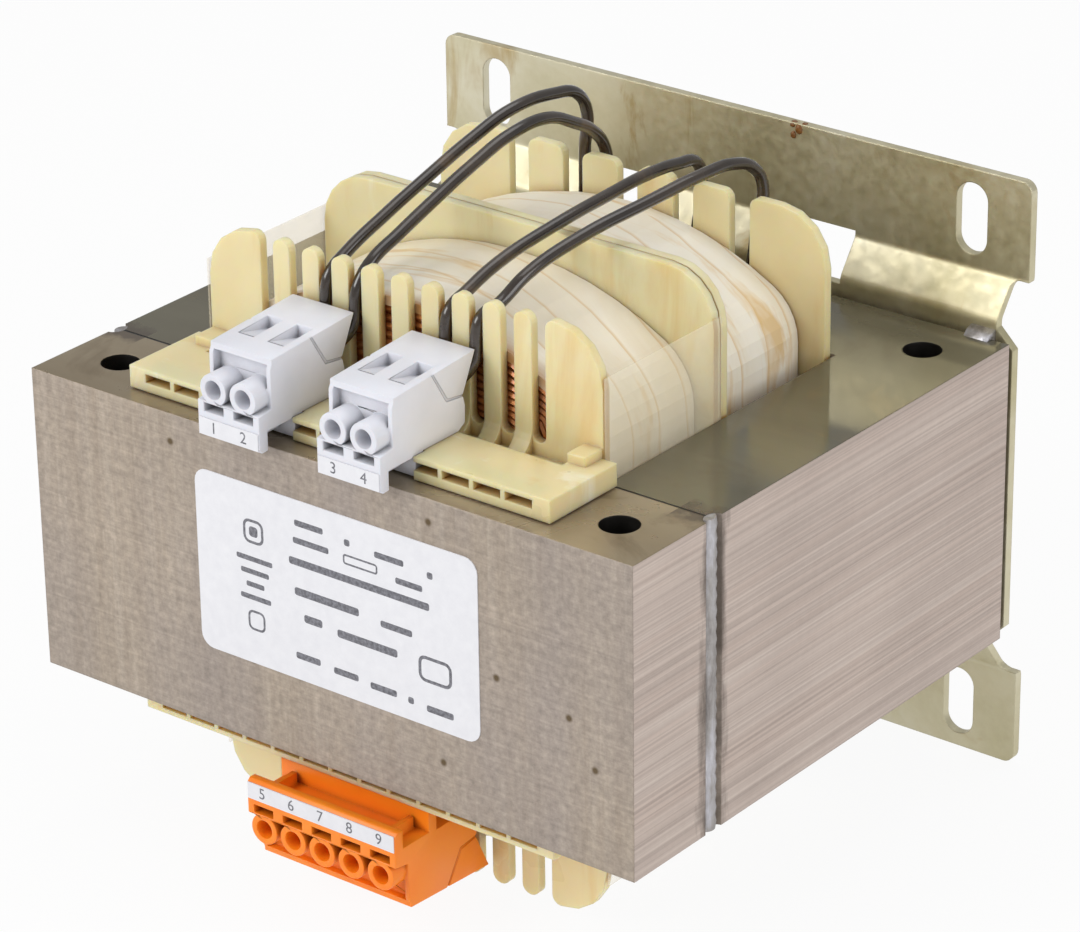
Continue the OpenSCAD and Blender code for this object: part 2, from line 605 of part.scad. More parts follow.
core_yoke();
core_e_stack();
seam_weld_left();
seam_weld_right();
mounting_bracket();
bracket_welds();
bobbin_front();
bobbin_rear();
copper_front();
copper_rear();
wrap_front();
wrap_rear();
side_film_left();
side_film_right();
block_left();
block_right();
block_lower();
contacts_left();
contacts_right();
contacts_lower();
marker_left();
marker_right();
marker_lower();
lead_1();
lead_2();
lead_3();
lead_4();
lower_leads();
rating_label();
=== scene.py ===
import math

import bpy
from mathutils import Euler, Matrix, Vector


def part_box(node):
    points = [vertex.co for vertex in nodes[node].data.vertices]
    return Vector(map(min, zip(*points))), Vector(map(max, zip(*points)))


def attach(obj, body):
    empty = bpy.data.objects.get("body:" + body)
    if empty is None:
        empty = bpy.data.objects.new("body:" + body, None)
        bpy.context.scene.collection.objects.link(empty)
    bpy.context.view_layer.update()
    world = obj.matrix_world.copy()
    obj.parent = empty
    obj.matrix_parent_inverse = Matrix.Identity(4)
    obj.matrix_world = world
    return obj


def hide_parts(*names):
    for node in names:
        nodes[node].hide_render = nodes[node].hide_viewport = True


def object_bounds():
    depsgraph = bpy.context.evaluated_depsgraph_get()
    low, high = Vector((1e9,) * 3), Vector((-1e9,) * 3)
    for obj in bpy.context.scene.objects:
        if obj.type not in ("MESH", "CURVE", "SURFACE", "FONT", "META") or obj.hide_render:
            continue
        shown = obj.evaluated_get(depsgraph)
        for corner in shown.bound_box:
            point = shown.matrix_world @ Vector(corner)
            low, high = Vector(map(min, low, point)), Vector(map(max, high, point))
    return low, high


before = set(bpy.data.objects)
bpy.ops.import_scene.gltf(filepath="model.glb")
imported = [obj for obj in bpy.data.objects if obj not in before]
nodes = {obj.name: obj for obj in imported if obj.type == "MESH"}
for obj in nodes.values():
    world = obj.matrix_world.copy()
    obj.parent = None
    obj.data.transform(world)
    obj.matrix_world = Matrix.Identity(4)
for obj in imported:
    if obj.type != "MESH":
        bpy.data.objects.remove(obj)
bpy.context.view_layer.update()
bpy.ops.object.select_all(action="DESELECT")


# ---- Lamination stack ----
# The core is cut from varnished silicon steel sheets half a millimetre thick: a stack of
# E sheets round the coils, closed by a stack of I sheets. The sheets' faces look out at the
# top and bottom; their sheared edges, banded by the stack, make the four sides.
def new_material(name):
    mat = bpy.data.materials.new(name)
    mat.use_nodes = True
    tree = mat.node_tree
    return mat, tree, tree.nodes["Principled BSDF"]


def add_node(tree, kind, inputs=None, **settings):
    node = tree.nodes.new(kind)
    for key, value in settings.items():
        setattr(node, key, value)
    for key, value in (inputs or {}).items():
        if isinstance(value, bpy.types.NodeSocket):
            tree.links.new(value, node.inputs[key])
        else:
            node.inputs[key].default_value = value
    return node


def place(tree, scale=(1, 1, 1), turn=(0, 0, 0), move=(0, 0, 0)):
    """Object coordinates in metres, stretched, turned and moved."""
    where = add_node(tree, "ShaderNodeTexCoord")
    lay = {"Vector": where.outputs["Object"], "Scale": scale, "Rotation": turn, "Location": move}
    return add_node(tree, "ShaderNodeMapping", lay).outputs[0]


def noise(tree, vector, scale=1, detail=4, rough=0.5, warp=0):
    grain = {"Vector": vector, "Scale": scale, "Detail": detail, "Roughness": rough, "Distortion": warp}
    return add_node(tree, "ShaderNodeTexNoise", grain).outputs[0]


def steps(tree, value, *stops):
    """A colour ramp through the given places and colours."""
    ramp = add_node(tree, "ShaderNodeValToRGB", {"Fac": value})
    marks = ramp.color_ramp.elements
    while len(marks) < len(stops):
        marks.new(0.5)
    for element, (at, colour) in zip(marks, stops):
        element.position = at
        element.color = (*colour, 1)
    return ramp.outputs[0]


def grey(value):
    return (value, value, value)


def blend(tree, share, a, b, kind="MIX"):
    node = add_node(tree, "ShaderNodeMix", data_type="RGBA", blend_type=kind, clamp_factor=True)
    for socket, value in ((node.inputs[0], share), (node.inputs[6], a), (node.inputs[7], b)):
        if isinstance(value, bpy.types.NodeSocket):
            tree.links.new(value, socket)
        elif isinstance(value, tuple):
            socket.default_value = (*value, 1)
        else:
            socket.default_value = value
    return node.outputs[2]


def sums(tree, kind, a, b=0):
    return add_node(tree, "ShaderNodeMath", {0: a, 1: b}, operation=kind).outputs[0]


def axes(tree):
    """Object coordinates as three separate values, in metres."""
    where = add_node(tree, "ShaderNodeTexCoord")
    return add_node(tree, "ShaderNodeSeparateXYZ", {0: where.outputs["Object"]}).outputs


def facing(tree, axis):
    """1 where a face looks along the axis, 0 elsewhere."""
    face = add_node(tree, "ShaderNodeNewGeometry")
    parts = add_node(tree, "ShaderNodeSeparateXYZ", {0: face.outputs["True Normal"]})
    return sums(tree, "GREATER_THAN", sums(tree, "ABSOLUTE", parts.outputs[axis]), 0.6)


def bump(tree, height, strength, distance, edge=0):
    """Relief from a height, with sharp edges shaded as if broken by the given radius."""
    relief = {"Height": height, "Strength": strength, "Distance": distance}
    node = add_node(tree, "ShaderNodeBump", relief)
    if edge:
        soft = add_node(tree, "ShaderNodeBevel", {"Radius": edge}, samples=4)
        tree.links.new(soft.outputs[0], node.inputs["Normal"])
    return node.outputs[0]


def give(obj, mat):
    obj.data.materials.clear()
    obj.data.materials.append(mat)


def spread(tree, value, low, high):
    """Greys from low to high over the usual run of a noise."""
    return steps(tree, value, (0.3, grey(low)), (0.7, grey(high)))


def away(tree, value, centre):
    """How far a value is from the centre, either way."""
    return sums(tree, "ABSOLUTE", sums(tree, "SUBTRACT", value, centre))


def core_material(name, top_a, top_b, stained, gloss):
    """Sheared edges on the four sides, varnished sheet on top and below, from top_a to top_b."""
    mat, tree, skin = new_material(name)
    link = tree.links.new
    flat = facing(tree, 2)
    front = facing(tree, 1)
    sheet_lines = noise(tree, place(tree, (5, 5, 1900)), 1, 3, 0.6)
    line_tone = steps(tree, sheet_lines, (0.34, grey(0.3)), (0.64, grey(0.68)))
    bands = noise(tree, place(tree, (3, 3, 300), move=(0, 0, 3)), 1, 3, 0.6)
    cloud = noise(tree, place(tree, (24, 24, 24)), 1, 4, 0.6)
    # long sides, across the stack
    side = steps(tree, bands, (0.3, (0.475, 0.385, 0.336)), (0.7, (0.54, 0.456, 0.405)))
    side = blend(tree, 0.42, side, line_tone, "OVERLAY")
    side = blend(tree, 0.35, side, spread(tree, cloud, 0.4, 0.62), "OVERLAY")
    # front and back, smeared by the shear, clouded by varnish and dotted with dried specks
    streak = noise(tree, place(tree, (420, 420, 14)), 1, 5, 0.7, 0.2)
    mottle = noise(tree, place(tree, (560, 560, 560)), 1, 6, 0.7)
    broad = noise(tree, place(tree, (24, 24, 6), move=(4, 0, 0)), 1, 4, 0.55)
    face = steps(tree, streak, (0.3, (0.36, 0.295, 0.232)), (0.7, (0.455, 0.385, 0.315)))
    face = blend(tree, steps(tree, broad, (0.38, grey(0.8)), (0.6, grey(0))), face, (0.335, 0.29, 0.268))
    face = blend(tree, 0.55, face, steps(tree, mottle, (0.32, grey(0.28)), (0.68, grey(0.72))), "OVERLAY")
    face = blend(tree, 0.16, face, line_tone, "OVERLAY")
    face = blend(tree, 0.2, face, spread(tree, cloud, 0.38, 0.62), "OVERLAY")
    over_face = place(tree, (44, 44, 44), turn=(math.pi / 2, 0, 0), move=(0.3, 0.45, 0))
    dots = add_node(tree, "ShaderNodeTexVoronoi", {"Vector": over_face, "Scale": 1}, voronoi_dimensions="2D")
    kept = sums(tree, "GREATER_THAN", noise(tree, dots.outputs["Position"], 7, 0), 0.48)
    speck = steps(tree, dots.outputs["Distance"], (0.02, grey(0.9)), (0.045, grey(0)))
    dot = sums(tree, "MULTIPLY", speck, kept)
    face = blend(tree, dot, face, (0.10, 0.062, 0.02))
    edge = blend(tree, front, side, face)
    # sheet faces
    sheen = noise(tree, place(tree, (9, 34, 1)), 1, 4, 0.55)
    stain = noise(tree, place(tree, (30, 30, 30), move=(2, 1, 0)), 1, 6, 0.62, 0.8)
    top = steps(tree, sheen, (0.3, top_a), (0.7, top_b))
    top = blend(tree, steps(tree, stain, (0.55, grey(0)), (0.68, grey(stained))), top, (0.10, 0.065, 0.03))
    pale = steps(tree, stain, (0.30, grey(stained * 0.8)), (0.38, grey(0)))
    top = blend(tree, pale, top, (0.30, 0.20, 0.085))
    # painted shade: the holes' walls go near black; the joint between the stacks stays dark
    x, y, _ = axes(tree)
    from_hole = sums(tree, "MAXIMUM", away(tree, away(tree, x, 0), hole_x),
                     away(tree, away(tree, y, 0), hole_y))
    in_hole = sums(tree, "LESS_THAN", from_hole, hole_r + 0.00002)
    painted_bore_shade = sums(tree, "MULTIPLY", in_hole, sums(tree, "SUBTRACT", 1, flat))
    from_joint = away(tree, y, joint_y)
    joint = sums(tree, "LESS_THAN", from_joint, joint_half)
    whole = blend(tree, flat, edge, top)
    # heat tint and soot beside the weld beads
    ragged = sums(tree, "SUBTRACT", noise(tree, place(tree, (220, 220, 60)), 1, 4, 0.6), 0.5)
    off_joint = sums(tree, "ADD", sums(tree, "DIVIDE", from_joint, soot_w), ragged)
    at_side = sums(tree, "GREATER_THAN", away(tree, x, 0), side_x - soot_in)
    tint = sums(tree, "MULTIPLY", steps(tree, off_joint, (0.18, grey(0.8)), (0.46, grey(0))), at_side)
    whole = blend(tree, tint, whole, (0.10, 0.078, 0.062))
    # painted shade on the holes' walls, near black, together with the dark joint
    whole = blend(tree, sums(tree, "MAXIMUM", painted_bore_shade, joint), whole, (0.012, 0.010, 0.008))
    link(whole, skin.inputs["Base Color"])
    skin.inputs["Metallic"].default_value = 0.5
    rough = blend(tree, flat, spread(tree, mottle, 0.42, 0.62),
                  steps(tree, stain, (0.38, grey(gloss)), (0.7, grey(gloss + 0.2))))
    link(rough, skin.inputs["Roughness"])
    ridges = blend(tree, flat, sheet_lines, grey(0.5))
    link(bump(tree, ridges, 0.3, 0.0002, 0.0005), skin.inputs["Normal"])
    return mat


# four holes, from the middle of the stack
hole_x = 0.0625
hole_y = 0.05
hole_r = 0.004
# where the two stacks meet, half the joint's width, and how far soot lies beside it and in
# from the core's sides
joint_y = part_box("core_yoke")[1][1]
joint_half = 0.0003
soot_w = 0.01
soot_in = 0.008
side_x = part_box("core_e_stack")[1][0]

e_sheets = core_material("e_sheets", (0.135, 0.122, 0.085), (0.20, 0.185, 0.132), 0.25, 0.07)
i_sheets = core_material("i_sheets", (0.27, 0.215, 0.14), (0.40, 0.335, 0.24), 0.7, 0.22)
give(nodes["core_e_stack"], e_sheets)
give(nodes["core_yoke"], i_sheets)


# ---- Seam welds and bracket beads ----
# Electric weld beads lie in the grooves where the I and E stacks meet, and four short beads
# hold the bracket to the core's back edges. The bare metal is rippled and heat tinted.
def pick(made):
    """Selects only the given objects, with the first one active."""
    bpy.ops.object.select_all(action="DESELECT")
    for obj in made:
        obj.select_set(True)
    bpy.context.view_layer.objects.active = made[0]


def copy_node(name, new_name):
    """A copy of a CAD node with its loose triangles joined into one skin."""
    pick([nodes[name]])
    bpy.ops.object.duplicate()
    piece = bpy.context.object
    piece.name = new_name
    bpy.ops.object.mode_set(mode="EDIT")
    bpy.ops.mesh.select_all(action="SELECT")
    bpy.ops.mesh.remove_doubles(threshold=0.000002)
    bpy.ops.mesh.customdata_custom_splitnormals_clear()
    bpy.ops.object.mode_set(mode="OBJECT")
    return piece


def eased(name, width, mat):
    """The CAD node with its sharp edges broken by a small radius."""
    piece = copy_node(name, name + "_eased")
    soft = piece.modifiers.new("soft_edges", "BEVEL")
    soft.width = width
    soft.segments = 2
    soft.limit_method = "ANGLE"
    soft.angle_limit = math.radians(35)
    soft.use_clamp_overlap = False
    bpy.ops.object.modifier_apply(modifier="soft_edges")
    bpy.ops.object.shade_smooth_by_angle(angle=math.radians(40))
    give(piece, mat)
    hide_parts(name)
    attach(piece, "root")


def weld_material():
    mat, tree, skin = new_material("weld_bead")
    link = tree.links.new
    tint = noise(tree, place(tree, (260, 260, 45)), 1, 5, 0.65)
    tone = steps(tree, tint, (0.3, (0.20, 0.18, 0.172)), (0.48, (0.37, 0.35, 0.34)),
                 (0.6, (0.50, 0.49, 0.52)), (0.74, (0.78, 0.77, 0.79)))
    link(tone, skin.inputs["Base Color"])
    skin.inputs["Metallic"].default_value = 0.75
    link(steps(tree, tint, (0.35, grey(0.5)), (0.7, grey(0.28))), skin.inputs["Roughness"])
    ripple = noise(tree, place(tree, (700, 700, 500)), 1, 4)
    link(bump(tree, ripple, 0.5, 0.0004), skin.inputs["Normal"])
    return mat


weld_bead = weld_material()
for name in ("seam_weld_left", "seam_weld_right"):
    give(nodes[name], weld_bead)
bead_edge = 0.0003
eased("bracket_welds", bead_edge, weld_bead)


# ---- Mounting bracket ----
# One folded sheet with yellowish zinc plating, stained where impregnating varnish ran over it.
# A few drops of varnish have dried on its upper edge.
def bracket_material():
    mat, tree, skin = new_material("zinc_plate")
    link = tree.links.new
    cloud = noise(tree, place(tree, (26, 26, 26)), 1, 5, 0.6, 0.5)
    fine = noise(tree, place(tree, (420, 420, 420)), 1, 3, 0.6)
    base = steps(tree, cloud, (0.3, (0.535, 0.485, 0.30)), (0.52, (0.66, 0.61, 0.435)),
                 (0.75, (0.76, 0.73, 0.59)))
    stain = noise(tree, place(tree, (40, 40, 15), move=(5, 0, 2)), 1, 6, 0.65, 1.2)
    base = blend(tree, steps(tree, stain, (0.58, grey(0)), (0.68, grey(0.7))), base, (0.42, 0.28, 0.09))
    base = blend(tree, 0.25, base, spread(tree, fine, 0.35, 0.65), "OVERLAY")
    link(base, skin.inputs["Base Color"])
    skin.inputs["Metallic"].default_value = 0.8
    link(spread(tree, fine, 0.34, 0.5), skin.inputs["Roughness"])
    link(bump(tree, blend(tree, 0.5, fine, cloud), 0.2, 0.0003, 0.0004), skin.inputs["Normal"])
    return mat


def varnish_material():
    mat, tree, skin = new_material("dried_varnish")
    shade = noise(tree, place(tree, (500, 500, 500)), 1, 4, 0.6)
    brown = steps(tree, shade, (0.3, (0.09, 0.03, 0.008)), (0.7, (0.28, 0.12, 0.03)))
    tree.links.new(brown, skin.inputs["Base Color"])
    tree.links.new(bump(tree, shade, 0.4, 0.0003), skin.inputs["Normal"])
    skin.inputs["Roughness"].default_value = 0.25
    return mat


def joined(made, name):
    """The given objects as one piece."""
    pick(made)
    bpy.ops.object.join()
    piece = bpy.context.object
    piece.name = name
    return piece


def drop(spot, size, seed):
    """A dried drop that sits partly in the surface, its radii along the three axes in mm."""
    bpy.ops.object.select_all(action="DESELECT")
    bpy.ops.mesh.primitive_ico_sphere_add(subdivisions=3, radius=0.001, location=spot)
    bpy.ops.object.mode_set(mode="EDIT")
    bpy.ops.transform.resize(value=size)
    bpy.ops.transform.vertex_random(offset=0.00012, seed=seed)
    bpy.ops.object.mode_set(mode="OBJECT")
    bpy.ops.object.transform_apply(location=True)
    return bpy.context.object


dried_varnish = varnish_material()
give(nodes["mounting_bracket"], bracket_material())
# the drops hang at the upper edge, a little right of the middle
edge_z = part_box("mounting_bracket")[1][2]
sheet_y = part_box("mounting_bracket")[1][1] - 0.0012
varnish_drops = joined([
    drop((0.0168, sheet_y, edge_z - 0.0006), (1.1, 1, 0.8), 1),
    drop((0.0184, sheet_y - 0.0007, edge_z - 0.0012), (0.9, 0.6, 1.1), 2),
    drop((0.0194, sheet_y, edge_z - 0.0004), (0.8, 0.8, 0.7), 3),
    drop((0.0171, sheet_y - 0.0009, edge_z - 0.0026), (0.6, 0.5, 0.8), 4)], "varnish_drops")
bpy.ops.object.shade_smooth()
give(varnish_drops, dried_varnish)
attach(varnish_drops, "root")


# ---- Bobbins ----
# Two moulded bobbins of cream nylon, each with a comb flange and a plain flange. The wall
# lets a little light through, and varnish has left yellow runs on the fingers.
def painted_shade_in_hollows(tree, colour, shade_tone, reach):
    """Painted shade: the colour, going over to the given darker one in corners and cavities within reach."""
    shade = add_node(tree, "ShaderNodeAmbientOcclusion", {"Distance": reach}, samples=6)
    return blend(tree, steps(tree, shade.outputs["AO"], (0.15, grey(1)), (0.75, grey(0))), colour, shade_tone)


def bobbin_material():
    mat, tree, skin = new_material("cream_nylon")
    link = tree.links.new
    cloud = noise(tree, place(tree, (24, 24, 24)), 1, 4, 0.55)
    run = noise(tree, place(tree, (90, 90, 16), move=(1, 4, 0)), 1, 6, 0.6, 0.6)
    base = steps(tree, cloud, (0.3, (0.74, 0.62, 0.335)), (0.7, (0.84, 0.75, 0.49)))
    base = blend(tree, steps(tree, run, (0.56, grey(0)), (0.72, grey(0.55))), base, (0.70, 0.47, 0.15))
    base = blend(tree, steps(tree, run, (0.28, grey(0.7)), (0.38, grey(0))), base, (0.86, 0.82, 0.66))
    # painted shade: the nylon darkens to brown in corners and cavities
    link(painted_shade_in_hollows(tree, base, (0.42, 0.27, 0.085), 0.004), skin.inputs["Base Color"])
    link(spread(tree, cloud, 0.24, 0.42), skin.inputs["Roughness"])
    skin.inputs["Subsurface Weight"].default_value = 0.6
    skin.inputs["Subsurface Radius"].default_value = (0.005, 0.0032, 0.0012)
    skin.inputs["Subsurface Scale"].default_value = 1.0
    link(bump(tree, blend(tree, 0.5, cloud, run), 0.25, 0.0006, 0.0005), skin.inputs["Normal"])
    return mat


cream_nylon = bobbin_material()
give(nodes["bobbin_front"], cream_nylon)
give(nodes["bobbin_rear"], cream_nylon)


# ---- Windings ----
# Enamelled copper wound in layers on each bobbin and closed with turns of white tape, which
# the impregnating varnish has browned along its edges. The comb slots show the wire ends of
# the layers, so each end of a coil is built from its turns.
def copper_material():
    mat, tree, skin = new_material("enamelled_copper")
    link = tree.links.new
    shade = noise(tree, place(tree, (160, 160, 160)), 1, 4, 0.6)
    enamel = steps(tree, shade, (0.32, (0.16, 0.045, 0.012)), (0.55, (0.48, 0.17, 0.045)),
                   (0.72, (0.66, 0.30, 0.11)))
    link(enamel, skin.inputs["Base Color"])
    skin.inputs["Metallic"].default_value = 0.55
    skin.inputs["Roughness"].default_value = 0.3
    skin.inputs["Coat Weight"].default_value = 0.4
    return mat


def tape_material(name, rim_y):
    """Lapped turns of tape, browned along their edges and towards the rim at rim_y."""
    mat, tree, skin = new_material(name)
    link = tree.links.new
    x, y, _ = axes(tree)
    lie = noise(tree, place(tree, (16, 55, 16), turn=(0, 0, 0.45)), 1, 5, 0.6, 0.7)
    wander = sums(tree, "MULTIPLY", noise(tree, place(tree, (14, 14, 14)), 1, 3), 0.012)
    across = sums(tree, "ADD", sums(tree, "ADD", y, sums(tree, "MULTIPLY", x, tape_slant)), wander)
    turn = sums(tree, "FRACT", sums(tree, "DIVIDE", across, tape_lap))
    seam = steps(tree, turn, (0.0, grey(1)), (0.10, grey(0)))
    run = noise(tree, place(tree, (20, 120, 20), turn=(0, 0, 0.3)), 1, 5, 0.62, 0.5)
    base = steps(tree, lie, (0.35, (0.77, 0.69, 0.53)), (0.62, (0.86, 0.81, 0.70)))
    base = blend(tree, sums(tree, "MULTIPLY", seam, 0.72), base, (0.66, 0.44, 0.18))
    base = blend(tree, steps(tree, run, (0.56, grey(0)), (0.68, grey(0.75))), base, (0.68, 0.44, 0.15))
    from_rim = sums(tree, "DIVIDE", sums(tree, "SUBTRACT", y, rim_y), 0.02)
    near = steps(tree, from_rim, (0.0, grey(1)), (0.28, grey(0)))
    soak = sums(tree, "MULTIPLY", near, steps(tree, run, (0.36, grey(0)), (0.6, grey(1))))
    base = blend(tree, sums(tree, "MULTIPLY", soak, 0.95), base, (0.42, 0.19, 0.04))
    link(base, skin.inputs["Base Color"])
    link(spread(tree, lie, 0.3, 0.5), skin.inputs["Roughness"])
    skin.inputs["Subsurface Weight"].default_value = 0.15
    skin.inputs["Subsurface Radius"].default_value = (0.002, 0.0015, 0.0008)
    height = blend(tree, 0.45, lie, turn)
    link(bump(tree, height, 0.55, 0.0009), skin.inputs["Normal"])
    return mat


def set_back(piece, low_y, high_y, depth):
    """Moves the two ends of a coil's copper in by the given depth."""
    for sign, face_y in ((1, low_y), (-1, high_y)):
        bpy.ops.object.mode_set(mode="EDIT")
        bpy.ops.mesh.select_all(action="DESELECT")
        bpy.ops.object.mode_set(mode="OBJECT")
        for vert in piece.data.vertices:
            vert.select = abs(vert.co.y - face_y) < 0.0001
        bpy.ops.object.mode_set(mode="EDIT")
        bpy.ops.transform.translate(value=(0, sign * depth, 0))
        bpy.ops.object.mode_set(mode="OBJECT")


def one_turn(points):
    """A closed loop of wire through the points."""
    data = bpy.data.curves.new("turn", "CURVE")
    data.dimensions = "3D"
    data.bevel_depth = wire_r
    data.bevel_resolution = 1
    line = data.splines.new("POLY")
    line.points.add(len(points) - 1)
    for spot, point in zip(line.points, points):
        spot.co = (*point, 1)
    line.use_cyclic_u = True
    loop = bpy.data.objects.new("turn", data)
    bpy.context.scene.collection.objects.link(loop)
    return loop


def coil_turns(name):
    """The copper of one coil, its two ends made up of the wire layers' last turns."""
    low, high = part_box(name)
    piece = copy_node(name, name + "_turns")
    set_back(piece, low.y, high.y, wire_r)
    middle = (low.z + high.z) / 2
    # the corners of the coil's outline in turn, without those of its bore
    outer = sorted({(round(v.co.x, 5), round(v.co.z - middle, 5)) for v in piece.data.vertices},
                   key=lambda p: math.atan2(p[1], p[0]))
    outer = [p for p in outer if abs(p[0]) > tube_x + 0.002 or abs(p[1]) > tube_z + 0.002]
    made = [piece]
    for end_y in (low.y + wire_r, high.y - wire_r):
        for k in range(layers):
            # from the outline, 0, to the tube, 1
            share = (k + 0.5) / layers
            points = []
            for x, z in outer:
                reach = max(abs(x) / tube_x, abs(z) / tube_z)
                points.append((x + (x / reach - x) * share, end_y, middle + z + (z / reach - z) * share))
            made.append(one_turn(points))
    pick(made)
    bpy.ops.object.convert(target="MESH")
    piece = joined(made, name + "_turns")
    bpy.ops.object.shade_smooth_by_angle(angle=math.radians(50))
    give(piece, enamelled_copper)
    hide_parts(name)
    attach(piece, "root")


enamelled_copper = copper_material()
wire_r = 0.0007
layers = 11
# half the width and height of the bobbin's tube, where the innermost layer lies
tube_x = 0.0273
tube_z = 0.0353
# the tape's turns: from edge to edge, and how much they slant
tape_lap = 0.0088
tape_slant = 0.16
for name in ("copper_front", "copper_rear"):
    coil_turns(name)
give(nodes["wrap_front"], tape_material("tape_front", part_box("wrap_front")[0][1]))
give(nodes["wrap_rear"], tape_material("tape_rear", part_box("wrap_rear")[0][1]))


# ---- Side films ----
# A clear plastic sheet on each side keeps the front coil off the core's outer legs. It stands
# out above and below the core, and varnish has clouded it.
def film_material():
    mat, tree, skin = new_material("clear_film")
    link = tree.links.new
    haze = noise(tree, place(tree, (35, 35, 35)), 1, 4, 0.6)
    tone = steps(tree, haze, (0.3, (0.96, 0.86, 0.62)), (0.7, (1.0, 0.95, 0.80)))
    link(tone, skin.inputs["Base Color"])
    link(spread(tree, haze, 0.1, 0.22), skin.inputs["Roughness"])
    link(spread(tree, haze, 0.17, 0.31), skin.inputs["Alpha"])
    return mat


clear_film = film_material()
for name in ("side_film_left", "side_film_right"):
    give(nodes[name], clear_film)


# ---- Terminal blocks ----
# Screwless blocks moulded in bluish white and in orange, clipped over the bobbin's ledges.
# Folded contacts stand in their pockets.
def block_material(name, dark, light, sheen):
    """Fine-grained moulding between two tones, with painted shade darkening its pockets."""
    mat, tree, skin = new_material(name)
    link = tree.links.new
    shade = noise(tree, place(tree, (70, 70, 70)), 1, 4, 0.6)
    tone = steps(tree, shade, (0.3, dark), (0.7, light))
    link(painted_shade_in_hollows(tree, tone, tuple(0.3 * part for part in dark), 0.003), skin.inputs["Base Color"])
    link(spread(tree, shade, sheen, sheen + 0.1), skin.inputs["Roughness"])
    skin.inputs["Subsurface Weight"].default_value = 0.2
    skin.inputs["Subsurface Radius"].default_value = (0.0015, 0.001, 0.0008)
    fine = noise(tree, place(tree, (2200, 2200, 2200)), 1, 2)
    link(bump(tree, fine, 0.12, 0.0001), skin.inputs["Normal"])
    return mat


def plated_material():
    mat, tree, skin = new_material("tinned_sheet")
    link = tree.links.new
    shade = noise(tree, place(tree, (300, 300, 300)), 1, 3)
    link(steps(tree, shade, (0.3, (0.45, 0.44, 0.42)), (0.7, (0.62, 0.61, 0.58))), skin.inputs["Base Color"])
    skin.inputs["Metallic"].default_value = 1
    link(spread(tree, shade, 0.25, 0.4), skin.inputs["Roughness"])
    return mat


white_block = block_material("white_moulding", (0.70, 0.705, 0.76), (0.76, 0.765, 0.82), 0.38)
orange_block = block_material("orange_moulding", (0.98, 0.225, 0.006), (1.0, 0.285, 0.012), 0.34)
tinned = plated_material()
moulded_edge = 0.00025
for side, moulding in (("left", white_block), ("right", white_block), ("lower", orange_block)):
    eased("block_" + side, moulded_edge, moulding)
    give(nodes["contacts_" + side], tinned)


# ---- Labels ----
# A rating label of satin paper on the front yoke, its print reduced to plain bars and fields,
# and marker strips on the blocks with the terminals' numbers.
def paper_material():
    mat, tree, skin = new_material("label_paper")
    link = tree.links.new
    fibre = noise(tree, place(tree, (420, 420, 420)), 1, 4, 0.6)
    cast = noise(tree, place(tree, (22, 22, 22)), 1, 3)
    base = steps(tree, fibre, (0.3, (0.74, 0.74, 0.775)), (0.7, (0.79, 0.79, 0.82)))
    base = blend(tree, 0.3, base, spread(tree, cast, 0.42, 0.56), "OVERLAY")
    link(base, skin.inputs["Base Color"])
    link(spread(tree, cast, 0.34, 0.46), skin.inputs["Roughness"])
    return mat


def print_material():
    mat, tree, skin = new_material("label_print")
    wear = noise(tree, place(tree, (1500, 1500, 1500)), 1, 3)
    ink = steps(tree, wear, (0.35, (0.10, 0.10, 0.115)), (0.7, (0.24, 0.24, 0.27)))
    tree.links.new(ink, skin.inputs["Base Color"])
    skin.inputs["Roughness"].default_value = 0.5
    return mat


def bar(x, z, width, height, face_y, hollow=0):
    """A printed bar with round corners, or a field's outline where hollow gives its line."""
    bpy.ops.object.select_all(action="DESELECT")
    bpy.ops.mesh.primitive_plane_add(size=1, location=(0, 0, 0))
    obj = bpy.context.object
    bpy.ops.object.mode_set(mode="EDIT")
    bpy.ops.transform.resize(value=(width, height, 1))
    bpy.ops.mesh.bevel(offset=min(width, height) * 0.3, segments=4, affect="VERTICES")
    if hollow:
        bpy.ops.mesh.select_all(action="SELECT")
        bpy.ops.mesh.inset(thickness=hollow)
        bpy.ops.mesh.delete(type="FACE")
        bpy.ops.mesh.select_all(action="SELECT")
    bpy.ops.object.mode_set(mode="OBJECT")
    obj.rotation_euler = (math.pi / 2, 0, 0)
    obj.location = (x, face_y, z)
    bpy.ops.object.transform_apply(location=True, rotation=True)
    thick = obj.modifiers.new("ink", "SOLIDIFY")
    thick.thickness = ink_t
    bpy.ops.object.modifier_apply(modifier="ink")
    return obj


def number(text, x, z, height, face_y):
    """A printed number that stands centred on the given place."""
    bpy.ops.object.select_all(action="DESELECT")
    bpy.ops.object.text_add(location=(x, face_y, z), rotation=(math.pi / 2, 0, 0))
    obj = bpy.context.object
    obj.data.body = text
    obj.data.size = height
    obj.data.align_x = "CENTER"
    obj.data.align_y = "CENTER"
    obj.data.extrude = ink_t / 2
    bpy.ops.object.convert(target="MESH")
    bpy.ops.object.transform_apply(location=True, rotation=True)
    return obj


def one_print(name, made):
    """All the print of one label or strip as one piece."""
    piece = joined(made, name)
    give(piece, label_print)
    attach(piece, "root")


label_paper = paper_material()
label_print = print_material()
ink_t = 0.00002
for name in ("rating_label", "marker_left", "marker_right", "marker_lower"):
    give(nodes[name], label_paper)

